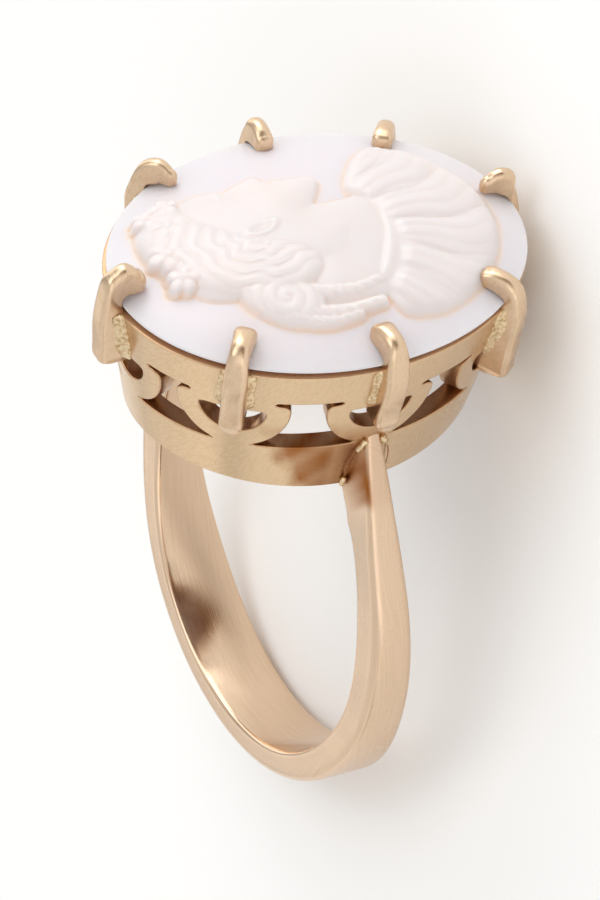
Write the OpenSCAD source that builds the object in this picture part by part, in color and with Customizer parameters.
// Cameo ring: a gold ring with an oval pierced head, eight claws and a carved cameo, lying on its side.
// The ring is drawn in its own frame first: X along the finger, Y across the hand, Z out of the cameo,
// with the finger hole's centre at the origin. The last module lays it down as it rests on a table.

/* [Finger hole] */
// Inner diameter of the band
finger_d = 17.2; // [16.4:0.1:18.4]

/* [Shank] */
// Width of the band at the bottom
shank_w = 3.1; // [2.6:0.1:3.6]
// Thickness of the band at the bottom
shank_t = 1.2; // [1:0.05:1.5]
// How much thicker the band is at its sides than at the bottom
side_gain = 0.5; // [0.3:0.05:0.7]
// Width of the arms at the height of the finger's centre
arm_w = 1.95; // [1.7:0.05:2.3]
// Width of the arms where they meet the head
shoulder_w = 0.95; // [0.8:0.05:1.2]
// Width of the arms at their pointed tips
tip_w = 0.24; // [0.2:0.02:0.4]
// How far up each side of the bottom the inside follows the finger
hug_angle = 137; // [136:1:140]

/* [Head] */
// Length of the oval rim, along the finger
rim_l = 17.8; // [17:0.1:18.6]
// Length of the oval base
base_l = 14.5; // [14:0.1:15]
// Width of the oval as a share of its length
oval_ratio = 0.79; // [0.77:0.01:0.82]
// Height of the base over the finger's centre
base_z = 8.2; // [8.1:0.05:8.4]
// Height of the plain lower rail
rail_h = 2.65; // [2.4:0.05:2.8]
// Height of the pierced band
pierced_h = 2.75; // [2.6:0.05:2.9]
// Height of the plain upper rail
rim_h = 1.7; // [1.5:0.05:1.9]
// Thickness of the head's wall
wall = 0.9; // [0.8:0.05:1]
// Radius of the saddle that the base is filed to
saddle_r = 25; // [20:1:40]

/* [Scrolls and claws] */
// Outer radius of a scroll
scroll_r = 2.25; // [2.1:0.05:2.3]
// How deep a scroll sits in the lower rail
scroll_sink = 0.25; // [0.2:0.05:0.35]
// Radius of the half-moon hole in a scroll
moon_r = 1.31; // [1.1:0.01:1.4]
// Width of a claw
claw_w = 0.95; // [0.8:0.05:1.1]
// Height of a claw's lower end over the lower rail
claw_start = 0.85; // [0.7:0.05:1]
// Height of the slope under a claw's foot
foot_bevel = 0.6; // [0.4:0.05:0.7]
// How far a claw stands proud of the wall at its foot
claw_out = 1; // [0.8:0.05:1.1]
// How far a claw stands proud of the rim
claw_top_out = 0.6; // [0.5:0.05:0.7]
// How far a claw reaches over the stone
claw_reach = 1.05; // [0.9:0.05:1.15]
// Thickness of a claw's tip
claw_tip_t = 0.5; // [0.4:0.05:0.6]

/* [Cameo] */
// Length of the stone
stone_l = 17.62; // [16.8:0.02:18.4]
// Height of the stone's edge, from its seat to where the dome starts
stone_edge = 0.25; // [0.2:0.05:0.4]
// Rise of the dome's ground over the edge
dome_rise = 1.5; // [1.3:0.05:1.6]
// Height of the carved bust over the ground
relief_h = 0.8; // [0.6:0.05:0.9]

/* [Hidden] */
$fn = 96;
// Where the claws stand round the oval, in degrees from its +X end; they aren't quite even
CLAW_ANGLES = [0, 47.4, 85.6, 124.5, 180, 225.6, 269.8, 315];
// The small step left between the rim and the stone
gap = 0.05;
// How far a cut runs past what it cuts
over = 5;
finger_r = finger_d / 2;

// A claw's bend over the stone: how far out of the rim and how high over the stone's edge
BEND = [[0.5, 0.6], [0.15, 1], [-0.35, 1.18]];
CREST = BEND[2];

// The band's outer edge is a circle whose centre lies a little above the finger's
outer_r = finger_r + shank_t + side_gain;
outer_up = side_gain;

// Heights of the head's edges
rail_z = base_z + rail_h;
pierced_z = rail_z + pierced_h;
rim_z = pierced_z + rim_h;
foot_z = rail_z + claw_start;
seat_z = rim_z + gap;
edge_z = seat_z + stone_edge;

// Half the oval's length at height z, and how fast it grows
flare = (rim_l - base_l) / 2 / (rim_z - base_z);
function half_l(z) = base_l / 2 + flare * (z - base_z);
function half_w(z) = oval_ratio * half_l(z);

// The tip of each arm lies on the rail's top edge
tip_y = half_w(rail_z) + 0.05;
tip_d = norm([tip_y, rail_z - outer_up]);
tip_a = atan2(tip_y, rail_z - outer_up) + acos(outer_r / tip_d);
touch = [outer_r * sin(tip_a), outer_up + outer_r * cos(tip_a)];
hug = finger_r * [sin(hug_angle), -cos(hug_angle)];

// At rest, the line from the band's lower edge to the foot of the first claw lies on the table
band_foot = [shank_w / 2, outer_up - outer_r];
claw_foot = [half_l(foot_z) + claw_out, foot_z + foot_bevel];
rest_angle = 90 - atan2(claw_foot.y - band_foot.y, claw_foot.x - band_foot.x);
lift = band_foot.x * cos(rest_angle) - band_foot.y * sin(rest_angle);
// How far the band and the claws reach back and forth over the table
back_y = band_foot.x * sin(rest_angle) - band_foot.y * cos(rest_angle);
front_y = (rim_l / 2 + CREST.x) * sin(rest_angle) + (edge_z + CREST.y) * cos(rest_angle);

// Widths of the arms by height: a row for each step, height then width
WIDTHS = [
    [-finger_r - 3, shank_w],
    [outer_up - outer_r, shank_w],
    [-finger_r * 0.85, shank_w * 0.975],
    [-finger_r * 0.6, shank_w * 0.87],
    [-finger_r * 0.3, (shank_w + arm_w) / 2 - 0.2],
    [0, arm_w],
    [finger_r * 0.4, (2 * arm_w + shoulder_w) / 3],
    [base_z, shoulder_w],
    [rail_z, tip_w]
];

// The band seen along the finger: a ring that opens into two arms with pointed tips
module shank_side() {
    difference() {
        union() {
            translate([0, outer_up]) circle(r = outer_r);
            polygon([[-touch.x, touch.y], [-tip_y, rail_z], [tip_y, rail_z], touch]);
        }
        circle(r = finger_r);
        polygon([
            [-hug.x, hug.y], [-half_w(base_z) + wall, base_z + 0.1],
            [-half_w(rail_z) + wall / 2, rail_z + over], [half_w(rail_z) - wall / 2, rail_z + over],
            [half_w(base_z) - wall, base_z + 0.1], [hug.x, hug.y], [0, 0]
        ]);
    }
}

// The band seen across the hand: its width at each height
module shank_front() {
    right = [for (s = WIDTHS) [s[1] / 2, s[0]]];
    left = [for (i = [len(WIDTHS) - 1:-1:0]) [-WIDTHS[i][1] / 2, WIDTHS[i][0]]];
    polygon(concat(right, left));
}

module shank() {
    intersection() {
        rotate([90, 0, 90]) linear_extrude(shank_w + 1, center = true) shank_side();
        rotate([90, 0, 0]) linear_extrude(4 * outer_r, center = true) shank_front();
    }
}

// An oval cone that follows the head's flare, set in by a wall's share
module oval_cone(inset, low, high) {
    l1 = half_l(low) - inset;
    l2 = half_l(high) - inset;
    ratio = (half_w(rail_z) - inset) / (half_l(rail_z) - inset);
    translate([0, 0, low]) scale([1, ratio, 1]) cylinder(h = high - low, r1 = l1, r2 = l2);
}

// Puts its children on the wall's outside at the oval's angle a, facing outward along X
module on_wall(a) {
    translate([half_l(rail_z) * cos(a), half_w(rail_z) * sin(a), 0])
        rotate(atan2(sin(a) / oval_ratio, cos(a))) children();
}

// A shape drawn on the wall, across and up, run through the wall
module through_wall(a) {
    on_wall(a) rotate([90, 0, 90]) linear_extrude(2 * over, center = true) children();
}

// The openings between the scrolls, and the half moon inside each
module piercings() {
    difference() {
        translate([0, 0, rail_z]) cylinder(h = pierced_h, r = rim_l);
        for (a = CLAW_ANGLES) through_wall(a)
            translate([0, rail_z + scroll_r - scroll_sink]) circle(r = scroll_r);
    }
    for (a = CLAW_ANGLES) through_wall(a) intersection() {
        translate([0, pierced_z - 0.6]) circle(r = moon_r);
        translate([-moon_r, pierced_z - 0.6 - moon_r]) square([2 * moon_r, moon_r]);
    }
}

module gallery() {
    difference() {
        oval_cone(0, base_z, rim_z);
        oval_cone(wall, base_z - over, rim_z + over);
        translate([0, 0, base_z - sqrt(saddle_r * saddle_r - pow(half_w(base_z), 2))])
            rotate([0, 90, 0]) cylinder(r = saddle_r, h = 3 * rim_l, center = true);
        piercings();
    }
}

// A claw seen from its side: up the wall from the scroll, then bent over the stone
module claw_side(a) {
    // how far out the wall and the rim lie, measured from the wall at the rail
    lean = flare * norm([cos(a), oval_ratio * sin(a)]);
    foot = lean * (foot_z - rail_z);
    rim = lean * (rim_z - rail_z);
    tip = rim - claw_reach;
    tip_up = edge_z + CREST.y - claw_tip_t / 4;
    bend = [for (p = BEND) [rim + p.x, edge_z + p.y]];
    polygon(concat(
        [[foot - wall / 2, foot_z], [foot + claw_out / 3, foot_z], [foot + claw_out, foot_z + foot_bevel]],
        [[rim + claw_top_out, rim_z + 2 * gap]],
        bend,
        [[tip, tip_up], [tip - 1.6 * gap, tip_up - claw_tip_t / 2], [tip, tip_up - claw_tip_t]],
        [[rim - claw_reach / 3, edge_z + claw_tip_t / 2], [rim + gap, edge_z], [rim + gap, rim_z]],
        [[rim - wall / 4, rim_z - 2 * gap]]
    ));
}

module claws() {
    for (a = CLAW_ANGLES) on_wall(a) rotate([90, 0, 0]) linear_extrude(claw_w, center = true) claw_side(a);
}

// Lays the ring on its side: it rests on the claw at the oval's +X end and on the band's lower edge
module lay_down() {
    translate([0, (front_y - back_y) / 2, lift]) rotate(-90) rotate([0, 90 - rest_angle, 0]) children();
}

module ring_mount() {
    color("#d9b98c") lay_down() {
        shank();
        gallery();
        claws();
    }
}

// The ball that a low dome is cut from, so that it rises by rise over the stone's edge
module dome_ball(rise) {
    r = stone_l / 2;
    ball = (r * r + rise * rise) / (2 * rise);
    translate([0, 0, edge_z + rise - ball]) sphere(r = ball, $fn = 240);
}

// The bust's outer form, seen from above before the oval is narrowed: head, knot of hair, flowers,
// neck and draped shoulders
module bust_form() {
    translate([-3.2, 0.4]) circle(r = 3.5);
    translate([-2.1, -4.3]) circle(r = 2.1);
    translate([-5.2, 2.4]) circle(r = 1.6);
    translate([-0.5, -4.2]) square([2, 4.4]);
    intersection() {
        translate([2.6, -1.6]) circle(r = 4.9);
        translate([0.8, -9]) square([9, 15]);
    }
}

module cameo() {
    color("#f6ece9") lay_down() scale([1, oval_ratio, 1]) {
        intersection() {
            translate([0, 0, seat_z]) cylinder(r = stone_l / 2, h = stone_edge + dome_rise + 1);
            dome_ball(dome_rise);
        }
        intersection() {
            translate([0, 0, seat_z + stone_edge / 2]) linear_extrude(dome_rise + 2) bust_form();
            dome_ball(dome_rise + relief_h);
        }
    }
}

ring_mount();
cameo();
